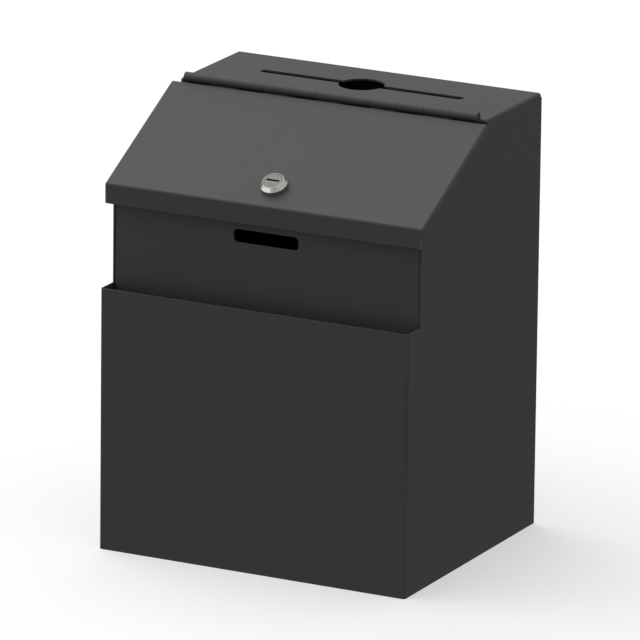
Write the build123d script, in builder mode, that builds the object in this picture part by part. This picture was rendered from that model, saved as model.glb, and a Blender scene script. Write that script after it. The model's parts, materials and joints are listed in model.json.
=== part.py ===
from build123d import *
import os
from math import atan2, cos, sin

# Locking steel collection box with a leaflet pocket, in millimetres.
# +Z is up, the pocket faces -Y, and the origin is under the middle of the box, on the floor.

# ---- Driving dimensions: body ----
body_width = 220.0
body_depth = 187.0
body_height = 289.0
sheet = 1.2  # steel sheet of every panel
bend_radius = 2.0  # outside radius of the body's bends
panel_bend_radius = 1.5  # outside radius where the front panel turns in beside the side sheets
side_height = 286.0  # the side sheets end here, butt-welded to the top panel's short legs
pocket_height = 174.0
pocket_gap = 15.6  # clear depth of the leaflet pocket
flange = 12.0  # depth of the inward flanges that are spot-welded to the next sheet
tray_height = 10.0  # upturned edge of the bottom panel
fit_gap = 0.2  # play between sheets that lie side by side

# ---- Driving dimensions: openings in the body ----
note_slot_length = 146.0
note_slot_width = 6.6
coin_hole_diameter = 30.0
note_slot_setback = 39.0  # from the back edge to the slot's centre line
catch_slot_length = 46.0
catch_slot_height = 8.6
catch_slot_corner = 2.8
catch_slot_z = 217.0
wall_hole_diameter = 6.0
wall_hole_spacing_x = 150.0
wall_hole_spacing_z = 180.0
wall_hole_middle_z = 150.0

# ---- Driving dimensions: lid ----
lid_overhang = 3.6  # each side
lid_standoff = 5.6  # lip's face in front of the front panel's face
lid_fold_z = 240.3
lid_rear_z = 287.7
lid_run = 89.5  # horizontal distance from the fold to the rear edge
lip_height = 13.1
lid_edge_gap = 0.25  # between the closed lid and the side sheets' sloped edges
lid_bend_radius = 2.0

# ---- Driving dimensions: hinge ----
knuckle_count = 11
knuckle_length = 18.9
knuckle_gap = 0.2
knuckle_diameter = 6.2
hinge_pin_diameter = 3.8
hinge_bore_diameter = 3.9
hinge_setback = 5.0  # from the lid's rear edge to the hinge axis
hinge_leaf_width = 20.0  # from the hinge axis to the leaf's free edge
hinge_clear_radius = 4.2  # the leaves are cut back to here beside the other leaf's knuckles
rivet_count = 5
rivet_pitch = 46.0
rivet_shank_diameter = 3.2
rivet_hole_diameter = 3.3
rivet_drop = 13.0  # below the hinge axis

# ---- Driving dimensions: lock ----
lock_from_fold = 19.0  # up the slope, to the lock's axis
lock_head_diameter = 18.0
lock_head_height = 5.2
lock_head_rim = 2.6  # height of the head's straight rim
lock_head_taper = 36.0  # degrees, above the rim
lock_head_radius = 0.4  # rounding of the head's top edge
lock_barrel_diameter = 16.0
lock_barrel_flats = 13.5
lock_barrel_length = 22.2
lock_hole_gap = 0.1
plug_diameter = 11.1
plug_bore_diameter = 11.2
plug_head_diameter = 12.6
plug_head_seat = 1.5  # height of the plug head's seat above the lid
plug_head_height = 3.9
keyway_length = 9.0
keyway_width = 1.6
keyway_depth = 20.0
shank_square = 7.0
cam_thickness = 2.0
cam_reach = 27.0
cam_hub_radius = 7.5
cam_tip_radius = 6.0
stop_thickness = 1.0
wafer_count = 4
wafer_pitch = 3.2
wafer_thickness = 1.0

# ---- Values worked out from those above ----
front_y = -body_depth / 2
back_y = body_depth / 2
inner_x = body_width / 2 - sheet
panel_y = front_y + sheet + pocket_gap
lid_fold_y = panel_y - lid_standoff
lid_slope = atan2(lid_rear_z - lid_fold_z, lid_run)
lid_length = lid_run / cos(lid_slope)
lid_half_width = body_width / 2 + lid_overhang
hinge_length = knuckle_count * knuckle_length + (knuckle_count - 1) * knuckle_gap
far = 400.0  # longer than the whole box, for cuts that go right through

# The lid's own plane: local X across, local Y up the slope, local Z outward, origin on the fold.
lid_plane = Plane(
    origin=(0, lid_fold_y, lid_fold_z),
    x_dir=(1, 0, 0),
    z_dir=(0, -sin(lid_slope), cos(lid_slope)),
)

# The hinge axis stands so far above the lid's face that the lid leaf, rolled from under the lid,
# meets its knuckles on their lower side, and the body leaf meets them on their rear side.
hinge_rise = knuckle_diameter / 2 - 2 * sheet
hinge_local_y = lid_length + hinge_setback
hinge_point = lid_plane.from_local_coords(Vector(0, hinge_local_y, hinge_rise))
hinge_y = hinge_point.Y
hinge_z = hinge_point.Z
top_front_y = hinge_y + knuckle_diameter / 2

# The lock's plane: origin where the lock's axis meets the lid's outer face.
lock_plane = Plane(
    origin=lid_plane.from_local_coords(Vector(0, lock_from_fold, 0)),
    x_dir=(1, 0, 0),
    z_dir=lid_plane.z_dir,
)


def lid_underside_z(y):
    """Height of the closed lid's underside at a distance y along the box."""
    return lid_fold_z + (y - lid_fold_y) * sin(lid_slope) / cos(lid_slope) - sheet / cos(lid_slope)


def lid_underside_y(z):
    """Where the closed lid's underside is at height z."""
    return lid_fold_y + (z + sheet / cos(lid_slope) - lid_fold_z) * cos(lid_slope) / sin(lid_slope)


def lock_depth(depth):
    """Plane square to the lock's axis, a given depth inward from the lid's outer face."""
    return lock_plane.offset(-depth)


def save(part, name):
    """Name a finished piece and write it."""
    part.label = name
    export_step(part, "parts/" + name + ".step")


os.makedirs("parts", exist_ok=True)


# ---- Body wrap: left side, pocket front and right side, bent from one sheet ----
wrap_x = body_width / 2 - sheet / 2
wrap_front_y = front_y + sheet / 2
slope_end_y = lid_underside_y(side_height + lid_edge_gap)
slope_start_z = lid_underside_z(panel_y) - lid_edge_gap

with BuildPart() as body_wrap:
    with BuildSketch():
        with BuildLine() as wrap_path:
            FilletPolyline(
                (-wrap_x, back_y),
                (-wrap_x, wrap_front_y),
                (wrap_x, wrap_front_y),
                (wrap_x, back_y),
                radius=bend_radius - sheet / 2,
            )
        trace(line_width=sheet)
    extrude(amount=side_height)
    with BuildSketch(Plane.YZ):
        with BuildLine():
            Polyline(
                (front_y - sheet, pocket_height),
                (panel_y, pocket_height),
                (panel_y, slope_start_z),
                (slope_end_y, side_height),
                (slope_end_y, body_height),
                (front_y - sheet, body_height),
                close=True,
            )
        make_face()
    extrude(amount=far, both=True, mode=Mode.SUBTRACT)

save(body_wrap.part, "body_wrap")


# ---- Bottom panel: a shallow tray with relieved corners ----
tray_length = body_depth - 2 * sheet
tray_corner_radius = sheet + 0.3
tray_bend_radius = sheet + 0.1
corner_relief = 5.0

with BuildPart() as bottom_panel:
    Box(2 * inner_x, tray_length, tray_height, align=(Align.CENTER, Align.CENTER, Align.MIN))
    fillet(bottom_panel.edges().filter_by(Axis.Z), tray_corner_radius)
    fillet(bottom_panel.faces().sort_by(Axis.Z)[0].edges(), tray_bend_radius)
    offset(amount=-sheet, openings=bottom_panel.faces().sort_by(Axis.Z)[-1])
    with BuildSketch(Plane.XY.offset(2 * sheet)):
        with GridLocations(2 * inner_x, tray_length, 2, 2):
            Rectangle(2 * corner_relief, 2 * corner_relief)
    extrude(amount=tray_height, mode=Mode.SUBTRACT)

save(bottom_panel.part, "bottom_panel")


# ---- Back panel: flanged forward inside the side sheets, with four wall-screw holes ----
flange_x = inner_x - sheet / 2
flat_half_width = inner_x - bend_radius
flange_start_z = tray_height + 1.0

with BuildPart() as back_panel:
    with BuildSketch():
        with BuildLine():
            FilletPolyline(
                (-flange_x, back_y - flange),
                (-flange_x, back_y - sheet / 2),
                (flange_x, back_y - sheet / 2),
                (flange_x, back_y - flange),
                radius=bend_radius - sheet / 2,
            )
        trace(line_width=sheet)
    extrude(amount=side_height)
    with BuildSketch():
        with Locations((-flat_half_width, back_y), (flat_half_width, back_y)):
            Rectangle(body_width, 3 * flange)
        with Locations((0, back_y)):
            Rectangle(2 * flat_half_width, 3 * flange, mode=Mode.SUBTRACT)
    extrude(amount=flange_start_z, mode=Mode.SUBTRACT)
    with BuildSketch(Plane.XZ.offset(-back_y)):
        with Locations((0, wall_hole_middle_z)):
            with GridLocations(wall_hole_spacing_x, wall_hole_spacing_z, 2, 2):
                Circle(wall_hole_diameter / 2)
    extrude(amount=2 * sheet, both=True, mode=Mode.SUBTRACT)

save(back_panel.part, "back_panel")


# ---- Top panel: soft edges, short legs on three sides, a deep front flange for the hinge ----
top_length = back_y - top_front_y
top_flange_height = 20.0
top_middle_y = (top_front_y + back_y) / 2
note_slot_y = back_y - note_slot_setback

with BuildPart() as top_panel:
    with BuildSketch(Plane.XY.offset(body_height - top_flange_height)):
        with Locations((0, top_middle_y)):
            Rectangle(body_width, top_length)
    extrude(amount=top_flange_height)
    fillet(top_panel.edges().filter_by(Axis.Z).group_by(Axis.Y)[-1], bend_radius)
    fillet(top_panel.faces().sort_by(Axis.Z)[-1].edges(), bend_radius)
    offset(amount=-sheet, openings=top_panel.faces().sort_by(Axis.Z)[0])
    with BuildSketch(Plane.XY.offset(body_height - top_flange_height)):
        with Locations((0, top_middle_y)):
            Rectangle(2 * body_width, 2 * top_length)
        with Locations((0, top_front_y)):
            Rectangle(2 * (inner_x - fit_gap), 2 * sheet, mode=Mode.SUBTRACT)
    extrude(amount=side_height - body_height + top_flange_height, mode=Mode.SUBTRACT)
    with BuildSketch(Plane.XY.offset(body_height)):
        with Locations((0, note_slot_y)):
            SlotOverall(note_slot_length, note_slot_width)
            Circle(coin_hole_diameter / 2)
    extrude(amount=-2 * sheet, mode=Mode.SUBTRACT)
    with BuildSketch(Plane.XZ.offset(-top_front_y)):
        with Locations((0, hinge_z - rivet_drop)):
            with GridLocations(rivet_pitch, 1, rivet_count, 1):
                Circle(rivet_hole_diameter / 2)
    extrude(amount=2 * sheet, both=True, mode=Mode.SUBTRACT)

save(top_panel.part, "top_panel")


# ---- Front panel: flanged all round, with the catch slot and a notch that clears the lock ----
panel_mid_y = panel_y + sheet / 2
panel_top_z = lid_underside_z(panel_mid_y) - 1.5
side_flange_top_z = 236.0
lock_notch_width = 64.0
lock_notch_z = 237.0
top_flange_length = 10.0

with BuildPart() as front_panel:
    with BuildSketch(Plane.XY.offset(flange_start_z)):
        with BuildLine():
            FilletPolyline(
                (-flange_x, panel_y + flange),
                (-flange_x, panel_mid_y),
                (flange_x, panel_mid_y),
                (flange_x, panel_y + flange),
                radius=panel_bend_radius - sheet / 2,
            )
        trace(line_width=sheet)
    extrude(amount=side_flange_top_z - flange_start_z)
    with BuildSketch(Plane.YZ):
        with BuildLine():
            FilletPolyline(
                (panel_mid_y, sheet),
                (panel_mid_y, panel_top_z),
                (
                    panel_mid_y + top_flange_length * cos(lid_slope),
                    panel_top_z + top_flange_length * sin(lid_slope),
                ),
                radius=bend_radius - sheet / 2,
            )
        trace(line_width=sheet)
    extrude(amount=flat_half_width, both=True)
    with BuildSketch(Plane.XZ.offset(-panel_y)):
        with Locations((0, catch_slot_z)):
            RectangleRounded(catch_slot_length, catch_slot_height, catch_slot_corner)
        with Locations((0, (lock_notch_z + body_height) / 2)):
            Rectangle(lock_notch_width, body_height - lock_notch_z)
    extrude(amount=2 * flange, both=True, mode=Mode.SUBTRACT)

save(front_panel.part, "front_panel")


# ---- Lid: sloped face, vertical front lip and side flanges, hollow below and open at the rear ----
lip_depth = lip_height * cos(lid_slope)
lid_rear_y = lid_fold_y + lid_run

with BuildPart() as lid:
    with BuildSketch(Plane.YZ):
        with BuildLine():
            Polyline(
                (lid_fold_y, lid_fold_z),
                (lid_rear_y, lid_rear_z),
                (lid_rear_y + lip_depth * sin(lid_slope), lid_rear_z - lip_depth * cos(lid_slope)),
                (lid_fold_y, lid_fold_z - lip_height),
                close=True,
            )
        make_face()
    extrude(amount=lid_half_width, both=True)
    fillet(lid.edges().filter_by(Axis.Z), lid_bend_radius)
    lid_face = lid.faces().filter_by(lid_plane).sort_by(Axis.Z)[-1]
    fillet(lid_face.edges().sort_by(Axis.Y)[:-1], lid_bend_radius)
    lid_underside = lid.faces().filter_by(lid_plane).sort_by(Axis.Z)[0]
    lid_rear = lid.faces().sort_by(Axis.Y)[-1]
    offset(amount=-sheet, openings=[lid_underside, lid_rear])
    with BuildSketch(lock_plane):
        Circle(lock_barrel_diameter / 2 + lock_hole_gap)
        Rectangle(far, lock_barrel_flats + 2 * lock_hole_gap, mode=Mode.INTERSECT)
    extrude(amount=2 * sheet, both=True, mode=Mode.SUBTRACT)

save(lid.part, "lid")


# ---- Piano hinge: two leaves with interleaved knuckles, a pin, and blind rivets ----
def knuckle_middles(first):
    """X positions of every second knuckle, counted from the given one."""
    pitch = knuckle_length + knuckle_gap
    return [(index - (knuckle_count - 1) / 2) * pitch for index in range(first, knuckle_count, 2)]


def knuckle_planes(first):
    """Planes at the left end of every second knuckle."""
    return [Plane.YZ.offset(x - knuckle_length / 2) for x in knuckle_middles(first)]


leaf_strip = hinge_leaf_width - hinge_clear_radius
strip_from_axis = (hinge_leaf_width + hinge_clear_radius) / 2
rivet_z = hinge_z - rivet_drop

with BuildPart() as hinge_body_leaf:
    with BuildSketch(Plane.XZ.offset(-top_front_y)):
        with Locations((0, hinge_z - strip_from_axis)):
            Rectangle(hinge_length, leaf_strip)
        with Locations([(x, hinge_z - hinge_clear_radius / 2) for x in knuckle_middles(0)]):
            Rectangle(knuckle_length, hinge_clear_radius)
        with Locations((0, rivet_z)):
            with GridLocations(rivet_pitch, 1, rivet_count, 1):
                Circle(rivet_hole_diameter / 2, mode=Mode.SUBTRACT)
    extrude(amount=sheet)
    with BuildSketch(*knuckle_planes(0)):
        with Locations((hinge_y, hinge_z)):
            Circle(knuckle_diameter / 2)
    extrude(amount=knuckle_length)
    with BuildSketch(Plane.YZ):
        with Locations((hinge_y, hinge_z)):
            Circle(hinge_bore_diameter / 2)
    extrude(amount=hinge_length, both=True, mode=Mode.SUBTRACT)

save(hinge_body_leaf.part, "hinge_body_leaf")

with BuildPart() as hinge_lid_leaf:
    with BuildSketch(lid_plane.offset(-sheet)):
        with Locations((0, hinge_local_y - strip_from_axis)):
            Rectangle(hinge_length, leaf_strip)
        with Locations([(x, hinge_local_y - hinge_clear_radius / 2) for x in knuckle_middles(1)]):
            Rectangle(knuckle_length, hinge_clear_radius)
    extrude(amount=-sheet)
    with BuildSketch(*knuckle_planes(1)):
        with Locations((hinge_y, hinge_z)):
            Circle(knuckle_diameter / 2)
    extrude(amount=knuckle_length)
    with BuildSketch(Plane.YZ):
        with Locations((hinge_y, hinge_z)):
            Circle(hinge_bore_diameter / 2)
    extrude(amount=hinge_length, both=True, mode=Mode.SUBTRACT)

save(hinge_lid_leaf.part, "hinge_lid_leaf")

pin_end_chamfer = 0.5

with BuildPart() as hinge_pin:
    with BuildSketch(Plane.YZ.offset(-hinge_length / 2)):
        with Locations((hinge_y, hinge_z)):
            Circle(hinge_pin_diameter / 2)
    extrude(amount=hinge_length)
    chamfer(hinge_pin.edges().filter_by(GeomType.CIRCLE), pin_end_chamfer)

save(hinge_pin.part, "hinge_pin")

rivet_head_diameter = 6.4
rivet_head_height = 1.1
rivet_tail_diameter = 4.8
rivet_tail_height = 3.0
rivet_mandrel_hole = 1.8


def rivet_sketch_plane(y):
    """Upright plane at y, facing the front."""
    return Plane.XZ.offset(-y)


with BuildPart() as hinge_rivets:
    with BuildSketch(rivet_sketch_plane(top_front_y - sheet)):
        with Locations((0, rivet_z)):
            with GridLocations(rivet_pitch, 1, rivet_count, 1):
                Circle(rivet_head_diameter / 2)
    extrude(amount=rivet_head_height)
    head_rims = hinge_rivets.edges().filter_by(GeomType.CIRCLE).group_by(Axis.Y)[0]
    fillet(head_rims, 0.8 * rivet_head_height)
    with BuildSketch(rivet_sketch_plane(top_front_y - sheet)):
        with Locations((0, rivet_z)):
            with GridLocations(rivet_pitch, 1, rivet_count, 1):
                Circle(rivet_shank_diameter / 2)
    extrude(amount=-2 * sheet)
    with BuildSketch(rivet_sketch_plane(top_front_y + sheet)):
        with Locations((0, rivet_z)):
            with GridLocations(rivet_pitch, 1, rivet_count, 1):
                Circle(rivet_tail_diameter / 2)
    extrude(amount=-rivet_tail_height)
    tail_rims = hinge_rivets.edges().filter_by(GeomType.CIRCLE).group_by(Axis.Y)[-1]
    fillet(tail_rims, rivet_tail_height / 3)
    with BuildSketch(rivet_sketch_plane(top_front_y - sheet - rivet_head_height)):
        with Locations((0, rivet_z)):
            with GridLocations(rivet_pitch, 1, rivet_count, 1):
                Circle(rivet_mandrel_hole / 2)
    extrude(amount=-2 * rivet_head_height, mode=Mode.SUBTRACT)

save(hinge_rivets.part, "hinge_rivets")


# ---- Lock: housing with a bevelled head, a barrel with two flats, and a stop lug at its end ----
lug_inner_radius = 6.1
stop_tab_angle = 30.0
stop_play_angle = 0.5
lock_turn = 90.0
lug_start_angle = stop_tab_angle / 2 + stop_play_angle
lug_angle = 360.0 - lock_turn - stop_tab_angle - 2 * stop_play_angle
lug_outer_radius = lock_barrel_diameter / 2
groove_span = 12.6
wafer_width = 5.6
wafer_play = 0.05
groove_start_depth = 1.0
groove_end_depth = 15.0

with BuildPart() as lock_housing:
    with BuildSketch(lock_plane):
        Circle(lock_head_diameter / 2)
    extrude(amount=lock_head_rim)
    with BuildSketch(lock_plane.offset(lock_head_rim)):
        Circle(lock_head_diameter / 2)
    extrude(amount=lock_head_height - lock_head_rim, taper=lock_head_taper)
    head_rim = lock_housing.edges().filter_by(GeomType.CIRCLE).sort_by(Axis.Z)[-1]
    fillet(head_rim, lock_head_radius)
    with BuildSketch(lock_plane):
        Circle(lock_barrel_diameter / 2)
        Rectangle(far, lock_barrel_flats, mode=Mode.INTERSECT)
    extrude(amount=-lock_barrel_length)
    with BuildSketch(lock_depth(lock_barrel_length)):
        with BuildLine():
            CenterArc((0, 0), (lug_inner_radius + lug_outer_radius) / 2, lug_start_angle, lug_angle)
        trace(line_width=lug_outer_radius - lug_inner_radius)
        Rectangle(far, lock_barrel_flats, mode=Mode.INTERSECT)
    extrude(amount=-stop_thickness)
    with BuildSketch(lock_plane):
        Circle(plug_bore_diameter / 2)
    extrude(amount=lock_barrel_length, both=True, mode=Mode.SUBTRACT)
    with BuildSketch(lock_plane.offset(plug_head_seat)):
        Circle(plug_head_diameter / 2 + wafer_play)
    extrude(amount=lock_head_height, mode=Mode.SUBTRACT)
    with BuildSketch(lock_depth(groove_start_depth)):
        Rectangle(groove_span, wafer_width)
    extrude(amount=groove_start_depth - groove_end_depth, mode=Mode.SUBTRACT)

save(lock_housing.part, "lock_housing")


# ---- Lock: turning plug with keyway, wafer slots, spring pockets and a square shank ----
stop_depth = lock_barrel_length + wafer_play
cam_depth = stop_depth + stop_thickness
spring_washer_depth = cam_depth + cam_thickness
spring_washer_thickness = 1.2
cam_screw_depth = spring_washer_depth + spring_washer_thickness
screw_hole_diameter = 5.0
screw_hole_end_depth = 16.0
first_wafer_depth = 2.5
pocket_start_x = -3.0
pocket_end_x = 2.2
pocket_outer_y = 4.3
wafer_depths = [first_wafer_depth + index * wafer_pitch for index in range(wafer_count)]

with BuildPart() as lock_plug:
    with BuildSketch(lock_plane.offset(plug_head_seat)):
        Circle(plug_head_diameter / 2)
    extrude(amount=plug_head_height)
    plug_rim = lock_plug.edges().filter_by(GeomType.CIRCLE).sort_by(Axis.Z)[-1]
    chamfer(plug_rim, 0.5)
    with BuildSketch(lock_plane.offset(plug_head_seat)):
        Circle(plug_diameter / 2)
    extrude(amount=-plug_head_seat - lock_barrel_length)
    with BuildSketch(lock_depth(lock_barrel_length)):
        Rectangle(shank_square, shank_square)
    extrude(amount=lock_barrel_length - spring_washer_depth + wafer_play)
    with BuildSketch(lock_plane.offset(plug_head_seat + plug_head_height)):
        Rectangle(keyway_length, keyway_width)
    extrude(amount=-keyway_depth, mode=Mode.SUBTRACT)
    with BuildSketch(lock_depth(spring_washer_depth)):
        Circle(screw_hole_diameter / 2)
    extrude(amount=spring_washer_depth - screw_hole_end_depth, mode=Mode.SUBTRACT)
    with BuildSketch(*[lock_depth(depth) for depth in wafer_depths]):
        Rectangle(plug_head_diameter, wafer_width + 2 * wafer_play)
        with Locations(((pocket_start_x + pocket_end_x) / 2, pocket_outer_y / 2)):
            Rectangle(pocket_end_x - pocket_start_x, pocket_outer_y)
    extrude(amount=wafer_thickness / 2 + wafer_play, both=True, mode=Mode.SUBTRACT)

save(lock_plug.part, "lock_plug")

wafer_lug_start_x = 0.6
wafer_lug_end_x = 1.6
wafer_lug_outer_y = 4.2
wafer_window_length = 8.4
wafer_window_width = 2.2

with BuildPart() as lock_wafers:
    with BuildSketch(*[lock_depth(depth) for depth in wafer_depths]):
        Circle(plug_diameter / 2 - wafer_play)
        Rectangle(plug_diameter, wafer_width, mode=Mode.INTERSECT)
        with Locations(((wafer_lug_start_x + wafer_lug_end_x) / 2, wafer_lug_outer_y / 2)):
            Rectangle(wafer_lug_end_x - wafer_lug_start_x, wafer_lug_outer_y)
        Rectangle(wafer_window_length, wafer_window_width, mode=Mode.SUBTRACT)
    extrude(amount=wafer_thickness / 2, both=True)

save(lock_wafers.part, "lock_wafers")

spring_wire = 0.18
spring_radius = 0.38
spring_turns = 6
spring_length = wafer_lug_start_x - pocket_start_x - 2 * wafer_play - spring_wire
spring_y = (wafer_width / 2 + pocket_outer_y) / 2

with BuildPart() as wafer_springs:
    for depth in wafer_depths:
        spring_end = Vector(pocket_start_x + wafer_play + spring_wire / 2, spring_y, 0)
        with BuildLine() as spring_path:
            Helix(
                pitch=spring_length / spring_turns,
                height=spring_length,
                radius=spring_radius,
                center=lock_depth(depth).from_local_coords(spring_end),
                direction=(1, 0, 0),
            )
        with BuildSketch(Plane(origin=spring_path.line @ 0, z_dir=spring_path.line % 0)):
            Circle(spring_wire / 2)
        sweep(path=spring_path.line, is_frenet=True)

save(wafer_springs.part, "wafer_springs")


# ---- Lock: nut and toothed washer under the lid, stop washer, cam and their screw at the end ----
tooth_washer_thickness = 0.7
tooth_washer_diameter = 20.6
tooth_count = 16
tooth_gap_width = 1.6
tooth_gap_depth = 1.3
nut_across_flats = 20.0
nut_thickness = 3.0
nut_bore_gap = 0.1
barrel_bore = lock_barrel_diameter + 2 * nut_bore_gap

with BuildPart() as lock_tooth_washer:
    with BuildSketch(lock_depth(sheet)):
        Circle(tooth_washer_diameter / 2)
        Circle(barrel_bore / 2, mode=Mode.SUBTRACT)
        with PolarLocations(tooth_washer_diameter / 2, tooth_count):
            Rectangle(2 * tooth_gap_depth, tooth_gap_width, mode=Mode.SUBTRACT)
    extrude(amount=-tooth_washer_thickness)

save(lock_tooth_washer.part, "lock_tooth_washer")

with BuildPart() as lock_nut:
    with BuildSketch(lock_depth(sheet + tooth_washer_thickness)):
        RegularPolygon(nut_across_flats / 2, 6, major_radius=False)
        Circle(lock_barrel_diameter / 2 + wafer_play, mode=Mode.SUBTRACT)
    extrude(amount=-nut_thickness)

save(lock_nut.part, "lock_nut")

stop_disc_radius = 5.9
stop_tab_radius = 7.4
square_hole = shank_square + 2 * wafer_play

with BuildPart() as lock_stop_washer:
    with BuildSketch(lock_depth(stop_depth)):
        Circle(stop_disc_radius)
        with BuildLine():
            CenterArc((0, 0), stop_tab_radius / 2, -stop_tab_angle / 2, stop_tab_angle)
        trace(line_width=stop_tab_radius)
        Rectangle(square_hole, square_hole, mode=Mode.SUBTRACT)
    extrude(amount=-stop_thickness)

save(lock_stop_washer.part, "lock_stop_washer")

with BuildPart() as lock_cam:
    with BuildSketch(lock_depth(cam_depth)):
        Circle(cam_hub_radius)
        with Locations((cam_reach - cam_tip_radius, 0)):
            Circle(cam_tip_radius)
        make_hull()
        Rectangle(square_hole, square_hole, mode=Mode.SUBTRACT)
    extrude(amount=-cam_thickness)

save(lock_cam.part, "lock_cam")

spring_washer_outer = 9.2
spring_washer_inner = 5.2
spring_washer_split = 0.8

with BuildPart() as cam_spring_washer:
    with BuildSketch(lock_depth(spring_washer_depth)):
        Circle(spring_washer_outer / 2)
        Circle(spring_washer_inner / 2, mode=Mode.SUBTRACT)
        with Locations((spring_washer_outer / 2, 0)):
            Rectangle(spring_washer_outer, spring_washer_split, mode=Mode.SUBTRACT)
    extrude(amount=-spring_washer_thickness)

save(cam_spring_washer.part, "cam_spring_washer")

screw_head_diameter = 9.0
screw_head_height = 2.6
screw_shank_diameter = 4.9
screw_tip_gap = 0.5
screw_recess_length = 4.6
screw_recess_width = 0.9
screw_recess_depth = 1.4

with BuildPart() as cam_screw:
    with BuildSketch(lock_depth(cam_screw_depth)):
        Circle(screw_head_diameter / 2)
    extrude(amount=-screw_head_height)
    screw_rim = cam_screw.edges().filter_by(GeomType.CIRCLE).sort_by(Axis.Z)[0]
    fillet(screw_rim, screw_head_height / 2)
    with BuildSketch(lock_depth(cam_screw_depth)):
        Circle(screw_shank_diameter / 2)
    extrude(amount=cam_screw_depth - screw_hole_end_depth - screw_tip_gap)
    with BuildSketch(lock_depth(cam_screw_depth + screw_head_height)):
        Rectangle(screw_recess_length, screw_recess_width)
        Rectangle(screw_recess_width, screw_recess_length)
    extrude(amount=screw_recess_depth, mode=Mode.SUBTRACT)

save(cam_screw.part, "cam_screw")
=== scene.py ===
import json
import math

import bpy
from mathutils import Matrix, Vector


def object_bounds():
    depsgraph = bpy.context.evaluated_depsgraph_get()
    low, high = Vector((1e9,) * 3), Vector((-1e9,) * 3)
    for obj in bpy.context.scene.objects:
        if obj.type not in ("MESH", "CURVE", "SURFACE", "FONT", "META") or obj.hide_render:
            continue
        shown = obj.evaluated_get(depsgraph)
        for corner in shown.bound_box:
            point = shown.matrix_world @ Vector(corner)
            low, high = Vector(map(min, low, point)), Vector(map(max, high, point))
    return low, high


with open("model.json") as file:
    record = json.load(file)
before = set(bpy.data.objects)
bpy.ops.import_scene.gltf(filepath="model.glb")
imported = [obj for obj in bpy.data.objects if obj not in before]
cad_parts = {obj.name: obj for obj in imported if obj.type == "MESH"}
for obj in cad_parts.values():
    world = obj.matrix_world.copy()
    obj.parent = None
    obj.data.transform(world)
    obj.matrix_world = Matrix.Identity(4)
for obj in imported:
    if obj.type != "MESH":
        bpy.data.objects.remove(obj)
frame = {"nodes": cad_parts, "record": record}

cad_low, cad_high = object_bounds()
centre = (cad_low + cad_high) / 2
nodes = frame["nodes"]

# ---- Camera: a long lens, a little above the box and to its right (degrees, metres, millimetres) ----
CAMERA_AZIMUTH = 27.04
CAMERA_ELEVATION = 15.97
CAMERA_ROLL = 0.68
CAMERA_DISTANCE = 5.802
CAMERA_LENS = 508.5
CAMERA_SENSOR = 36.0
CAMERA_NEAR = 0.1
CAMERA_FAR = 100.0
AIM_OFFSET = Vector((0.0002, -0.0007, -0.0016))  # from the box's middle to where the camera aims

# ---- Floor: pale, and lit a little from within, like a light table ----
FLOOR_HALF_SIZE = 12.0
FLOOR_ALBEDO = (0.58, 0.58, 0.583)
FLOOR_GLOW = 0.39
FLOOR_ROUGHNESS = 0.9
FLOOR_SPECULAR = 0.1

# ---- Surround: each level's place runs from 0, straight down, to 1, straight up ----
GROUND = (0.30, 0.20)  # place and strength; what the box's lower sides mirror
HORIZON = (0.52, 0.42)
SKY = (0.85, 0.60)
FRONT_GAIN = 1.38  # the surround is brighter behind the camera
BACK_GAIN = 1.12

# ---- Lights: the softbox lights everything but the lock's bright head, and the card only that ----
BRIGHT_NODES = ("lock_housing", "lock_plug")
SOFTBOX = dict(toward=(-0.50, 0.04, 0.86), distance=3.6, size=(4.6, 4.6), power=90.0)
LOCK_CARD = dict(toward=(-0.72, -0.69, 0.02), distance=1.2, size=(1.9, 0.6), power=3.4)

# ---- Powder coat (sizes in metres) ----
COAT_TONE = 0.035
CLOUD_SIZE = 0.09
CLOUD_GAIN = 1.03
GRAIN_SIZE = 0.00045
GRAIN_HEIGHT = 0.000006
PEEL_SIZE = 0.0016
PEEL_HEIGHT = 0.00001
PAINTED_GLINT_LEVELS = (0.55, 0.8)  # painted glints: how high the grain must be for the coat's colour to start to lighten, and to lighten fully
PAINTED_GLINT_SHARE = 0.35
PAINTED_GLINT_GAIN = 1.5
COAT_ROUGHNESS = (0.53, 0.57)
CLOUD_ROUGHNESS = (-0.003, 0.003)  # added to it
COAT_SPECULAR = 0.45

# ---- Coat rubbed thin along edges (sizes in metres) ----
WORN_TONE = 0.085
PANEL_WEAR = 0.3  # how much of the worn tone shows at its strongest
HINGE_WEAR = 0.2
WEAR_WIDTH = 0.0007
WEAR_PATCH_SIZE = 0.012
WEAR_LEVELS = (0.45, 0.6)
WEAR_FLOOR = 0.15  # wear left between the patches
EDGE_LIKENESS = (0.75, 0.995)  # how alike a rounded and a plain normal are on a sharp edge, and on a flat
EDGE_SAMPLES = 4

# ---- Bright metal: colour and roughness, then its detail (sizes in metres) ----
METALS = {
    "rivet_aluminium": ("set_aluminium", (0.70, 0.70, 0.71), 0.40),
    "lock_nickel": ("nickel_plate", (0.60, 0.59, 0.56), 0.27),
    # the plug's nickel is painted darker than the housing's: painted shade, so its face reads grey instead
    # of mirroring bright light
    "lock_nickel_plug": ("nickel_plug", (0.42, 0.41, 0.39), 0.28),
    "zinc_plate": ("zinc_plate", (0.63, 0.64, 0.62), 0.33),
    "wafer_brass": ("stamped_brass", (0.72, 0.53, 0.24), 0.32),
    "spring_steel": ("spring_wire", (0.46, 0.46, 0.47), 0.28),
}
POLISH_SIZE = 0.004
POLISH_LEVELS = (0.35, 0.7)
SCRATCH_SIZE = 0.0006
SCRATCH_STRETCH = (1.0, 6.0, 1.0)
SCRATCH_HEIGHT = 0.00002
SCRATCH_STRENGTH = 0.3
DULL_GAIN = 0.8
ROUGHNESS_GAINS = (0.75, 1.35)

NOISE_LEVELS = (0.3, 0.7)  # most of a noise's values lie between these

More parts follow.
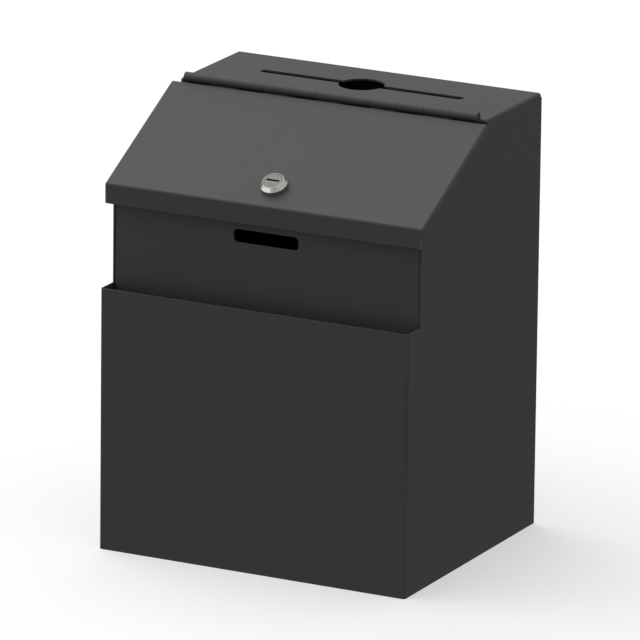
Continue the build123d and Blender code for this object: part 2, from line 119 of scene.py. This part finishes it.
# ---- Edge rounding by modifiers (metres, degrees) ----
SHEET_NODES = ("body_wrap", "bottom_panel", "back_panel", "top_panel", "front_panel", "lid")
SHEET_EDGE = 0.00022
HARDWARE_NODES = ("lock_cam", "lock_nut")
HARDWARE_EDGE = 0.00015
EDGE_SEGMENTS = 2
WELD_DISTANCE = 0.0000001
FLAT_ANGLE = 0.5
SHARP_ANGLE = 40.0


# ---------------------------------------------------------------- camera, floor, lights
def make_camera():
    azimuth = math.radians(CAMERA_AZIMUTH)
    elevation = math.radians(CAMERA_ELEVATION)
    back = Vector(
        (
            math.sin(azimuth) * math.cos(elevation),
            -math.cos(azimuth) * math.cos(elevation),
            math.sin(elevation),
        )
    )
    data = bpy.data.cameras.new("camera")
    data.lens = CAMERA_LENS
    data.sensor_width = CAMERA_SENSOR
    data.clip_start = CAMERA_NEAR
    data.clip_end = CAMERA_FAR
    camera = bpy.data.objects.new("camera", data)
    bpy.context.scene.collection.objects.link(camera)
    camera.location = centre + AIM_OFFSET + back * CAMERA_DISTANCE
    aim = (-back).to_track_quat("-Z", "Y").to_matrix()
    roll = Matrix.Rotation(math.radians(CAMERA_ROLL), 3, "Z")
    camera.rotation_euler = (aim @ roll).to_euler()
    bpy.context.scene.camera = camera


def make_floor():
    """A pale floor that takes shadows but doesn't light the box from below."""
    mesh = bpy.data.meshes.new("floor")
    half = FLOOR_HALF_SIZE
    corners = [(-half, -half, 0), (half, -half, 0), (half, half, 0), (-half, half, 0)]
    mesh.from_pydata(corners, [], [(0, 1, 2, 3)])
    floor = bpy.data.objects.new("floor", mesh)
    bpy.context.scene.collection.objects.link(floor)
    floor.visible_glossy = False
    floor.visible_diffuse = False
    material = bpy.data.materials.new("pale_floor")
    material.use_nodes = True
    shader = material.node_tree.nodes["Principled BSDF"]
    shader.inputs["Base Color"].default_value = (*FLOOR_ALBEDO, 1)
    shader.inputs["Emission Color"].default_value = (1, 1, 1, 1)
    shader.inputs["Emission Strength"].default_value = FLOOR_GLOW
    shader.inputs["Roughness"].default_value = FLOOR_ROUGHNESS
    shader.inputs["Specular IOR Level"].default_value = FLOOR_SPECULAR
    mesh.materials.append(material)


def make_surround():
    """A plain studio surround: brightest overhead, even at the horizon, dim below the floor."""
    world = bpy.data.worlds.new("studio")
    bpy.context.scene.world = world
    world.use_nodes = True
    new_node = world.node_tree.nodes.new
    join = world.node_tree.links.new
    direction = new_node("ShaderNodeSeparateXYZ")
    join(new_node("ShaderNodeTexCoord").outputs["Generated"], direction.inputs[0])
    height = new_node("ShaderNodeMapRange")
    height.inputs["From Min"].default_value = -1.0
    join(direction.outputs["Z"], height.inputs["Value"])
    ramp = new_node("ShaderNodeValToRGB")
    join(height.outputs["Result"], ramp.inputs["Fac"])
    ramp.color_ramp.interpolation = "EASE"
    ramp.color_ramp.elements.new(HORIZON[0])
    for element, (place, level) in zip(ramp.color_ramp.elements, (GROUND, HORIZON, SKY)):
        element.position = place
        element.color = (level, level, level, 1)
    gain = new_node("ShaderNodeMapRange")
    gain.inputs["From Min"].default_value = -1.0
    gain.inputs["To Min"].default_value = FRONT_GAIN
    gain.inputs["To Max"].default_value = BACK_GAIN
    join(direction.outputs["Y"], gain.inputs["Value"])
    background = world.node_tree.nodes["Background"]
    join(ramp.outputs["Color"], background.inputs["Color"])
    join(gain.outputs["Result"], background.inputs["Strength"])


def make_light(name, toward, distance, size, power, lock_link):
    """A rectangular light in a direction from the box. The bright nodes alone see it, or alone don't."""
    data = bpy.data.lights.new(name, "AREA")
    data.shape = "RECTANGLE"
    data.size, data.size_y = size
    data.energy = power
    light = bpy.data.objects.new(name, data)
    toward = Vector(toward).normalized()
    light.location = centre + toward * distance
    light.rotation_euler = (-toward).to_track_quat("-Z", "Y").to_euler()
    light.visible_camera = False
    bpy.context.scene.collection.objects.link(light)
    receivers = bpy.data.collections.new(name)
    light.light_linking.receiver_collection = receivers
    for node_name in BRIGHT_NODES:
        receivers.objects.link(nodes[node_name])
    for item in receivers.collection_objects:
        item.light_linking.link_state = lock_link


# ---------------------------------------------------------------- materials
def grey(tone):
    """A near-neutral grey, a touch blue."""
    return (tone, tone, 1.02 * tone)


class Tree:
    """A material's node tree, with short calls to add and join nodes."""

    def __init__(self, name):
        self.material = bpy.data.materials.new(name)
        self.material.use_nodes = True
        self.tree = self.material.node_tree
        self.shader = self.tree.nodes["Principled BSDF"]
        self.place = self.add("ShaderNodeTexCoord").outputs["Object"]

    def add(self, kind, **settings):
        """A new node of this kind, with these settings."""
        node = self.tree.nodes.new(kind)
        for key, value in settings.items():
            setattr(node, key, value)
        return node

    def join(self, source, target):
        self.tree.links.new(source, target)

    def feed(self, value, socket):
        """Joins a socket, or sets a colour or a number."""
        if isinstance(value, bpy.types.NodeSocket):
            self.join(value, socket)
        elif isinstance(value, tuple):
            socket.default_value = (*value, 1)
        else:
            socket.default_value = value

    def noise(self, size, detail=3.0, roughness=0.5, stretch=None):
        """Noise with features of about this size in metres, from 0 to 1."""
        node = self.add("ShaderNodeTexNoise")
        node.inputs["Scale"].default_value = 1.0 / size
        node.inputs["Detail"].default_value = detail
        node.inputs["Roughness"].default_value = roughness
        place = self.place
        if stretch is not None:
            mapping = self.add("ShaderNodeMapping")
            mapping.inputs["Scale"].default_value = stretch
            self.join(self.place, mapping.inputs["Vector"])
            place = mapping.outputs["Vector"]
        self.join(place, node.inputs["Vector"])
        return node.outputs["Fac"]

    def spread(self, value, levels, results=(0.0, 1.0)):
        """Moves the range between two levels to the range between two results, and stops at their ends."""
        node = self.add("ShaderNodeMapRange")
        self.join(value, node.inputs["Value"])
        node.inputs["From Min"].default_value, node.inputs["From Max"].default_value = levels
        node.inputs["To Min"].default_value, node.inputs["To Max"].default_value = results
        return node.outputs["Result"]

    def mix(self, factor, first, second):
        """Colour between two colours, each a tuple or a socket."""
        node = self.add("ShaderNodeMix", data_type="RGBA")
        factor_socket, first_socket, second_socket = (node.inputs[index] for index in (0, 6, 7))
        self.feed(factor, factor_socket)
        self.feed(first, first_socket)
        self.feed(second, second_socket)
        return node.outputs[2]

    def math(self, operation, first, second):
        """An arithmetic node on two numbers, each a value or a socket."""
        node = self.add("ShaderNodeMath", operation=operation)
        self.feed(first, node.inputs[0])
        self.feed(second, node.inputs[1])
        return node.outputs[0]

    def edges(self, radius):
        """1 within about this distance of a sharp edge, 0 on flats."""
        rounded = self.add("ShaderNodeBevel", samples=EDGE_SAMPLES)
        rounded.inputs["Radius"].default_value = radius
        likeness = self.add("ShaderNodeVectorMath", operation="DOT_PRODUCT")
        self.join(rounded.outputs["Normal"], likeness.inputs[0])
        self.join(self.add("ShaderNodeNewGeometry").outputs["Normal"], likeness.inputs[1])
        return self.spread(likeness.outputs["Value"], EDGE_LIKENESS, (1.0, 0.0))

    def bump(self, height, distance, strength=1.0, base=None):
        """A normal tilted by a height map, over another normal if one is given."""
        node = self.add("ShaderNodeBump")
        node.inputs["Strength"].default_value = strength
        node.inputs["Distance"].default_value = distance
        self.join(height, node.inputs["Height"])
        if base is not None:
            self.join(base, node.inputs["Normal"])
        return node.outputs["Normal"]


def powder_coat(name, wear):
    """Satin black powder coat: orange peel, fine grain with painted glints on its peaks, faint clouding, and
    edges rubbed a little grey.
    """
    t = Tree(name)
    cloud = t.noise(CLOUD_SIZE, 2.0)
    grain = t.noise(GRAIN_SIZE, 2.0)
    peel = t.noise(PEEL_SIZE, 2.0, 0.4)
    base = t.mix(t.spread(cloud, NOISE_LEVELS), grey(COAT_TONE), grey(CLOUD_GAIN * COAT_TONE))
    # painted glints: the coat's colour is lighter on the grain's peaks, standing in for light caught there
    painted_glint = t.spread(grain, PAINTED_GLINT_LEVELS, (0.0, PAINTED_GLINT_SHARE))
    base = t.mix(painted_glint, base, grey(PAINTED_GLINT_GAIN * COAT_TONE))
    patches = t.spread(t.noise(WEAR_PATCH_SIZE, 4.0), WEAR_LEVELS, (WEAR_FLOOR, 1.0))
    worn = t.math("MULTIPLY", t.math("MULTIPLY", t.edges(WEAR_WIDTH), patches), wear)
    t.join(t.mix(worn, base, grey(WORN_TONE)), t.shader.inputs["Base Color"])
    fine = t.spread(peel, NOISE_LEVELS, COAT_ROUGHNESS)
    broad = t.spread(cloud, NOISE_LEVELS, CLOUD_ROUGHNESS)
    t.join(t.math("ADD", fine, broad), t.shader.inputs["Roughness"])
    t.shader.inputs["Specular IOR Level"].default_value = COAT_SPECULAR
    normal = t.bump(peel, PEEL_HEIGHT)
    t.join(t.bump(grain, GRAIN_HEIGHT, base=normal), t.shader.inputs["Normal"])
    return t.material


def bright_metal(name, colour, rough):
    """Plated or drawn metal with fine scratches and uneven polish."""
    t = Tree(name)
    polish = t.spread(t.noise(POLISH_SIZE, 3.0), POLISH_LEVELS)
    lines = t.noise(SCRATCH_SIZE, 2.0, 0.6, SCRATCH_STRETCH)
    dull = tuple(DULL_GAIN * channel for channel in colour)
    t.join(t.mix(polish, colour, dull), t.shader.inputs["Base Color"])
    t.shader.inputs["Metallic"].default_value = 1.0
    roughness = tuple(gain * rough for gain in ROUGHNESS_GAINS)
    t.join(t.spread(lines, NOISE_LEVELS, roughness), t.shader.inputs["Roughness"])
    t.join(t.bump(lines, SCRATCH_HEIGHT, SCRATCH_STRENGTH), t.shader.inputs["Normal"])
    return t.material


def paint_nodes():
    """Gives each CAD node the finish of its material slot."""
    finishes = {
        "powder_coat": powder_coat("powder_coat_black", PANEL_WEAR),
        "hinge_coat": powder_coat("hinge_coat_black", HINGE_WEAR),
    }
    for slot, (name, colour, rough) in METALS.items():
        finishes[slot] = bright_metal(name, colour, rough)
    for item in frame["record"]["subparts"]:
        node = nodes[item["node"]]
        node.data.materials.clear()
        node.data.materials.append(finishes[item["material_slot"]])


# ---------------------------------------------------------------- edges that catch the light
def soften(name, width):
    """Rounds a CAD node's sharp edges by modifiers."""
    node = nodes[name]
    node.modifiers.new("weld", "WELD").merge_threshold = WELD_DISTANCE
    flats = node.modifiers.new("flats", "DECIMATE")
    flats.decimate_type = "DISSOLVE"
    flats.angle_limit = math.radians(FLAT_ANGLE)
    edges = node.modifiers.new("edges", "BEVEL")
    edges.width = width
    edges.segments = EDGE_SEGMENTS
    edges.limit_method = "ANGLE"
    edges.angle_limit = math.radians(SHARP_ANGLE)
    node.modifiers.new("normals", "WEIGHTED_NORMAL")


def soften_nodes():
    for name in SHEET_NODES:
        soften(name, SHEET_EDGE)
    for name in HARDWARE_NODES:
        soften(name, HARDWARE_EDGE)


make_camera()
make_floor()
make_surround()
make_light("softbox", lock_link="EXCLUDE", **SOFTBOX)
make_light("lock_card", lock_link="INCLUDE", **LOCK_CARD)
bpy.context.scene.view_settings.view_transform = "Standard"
paint_nodes()
soften_nodes()
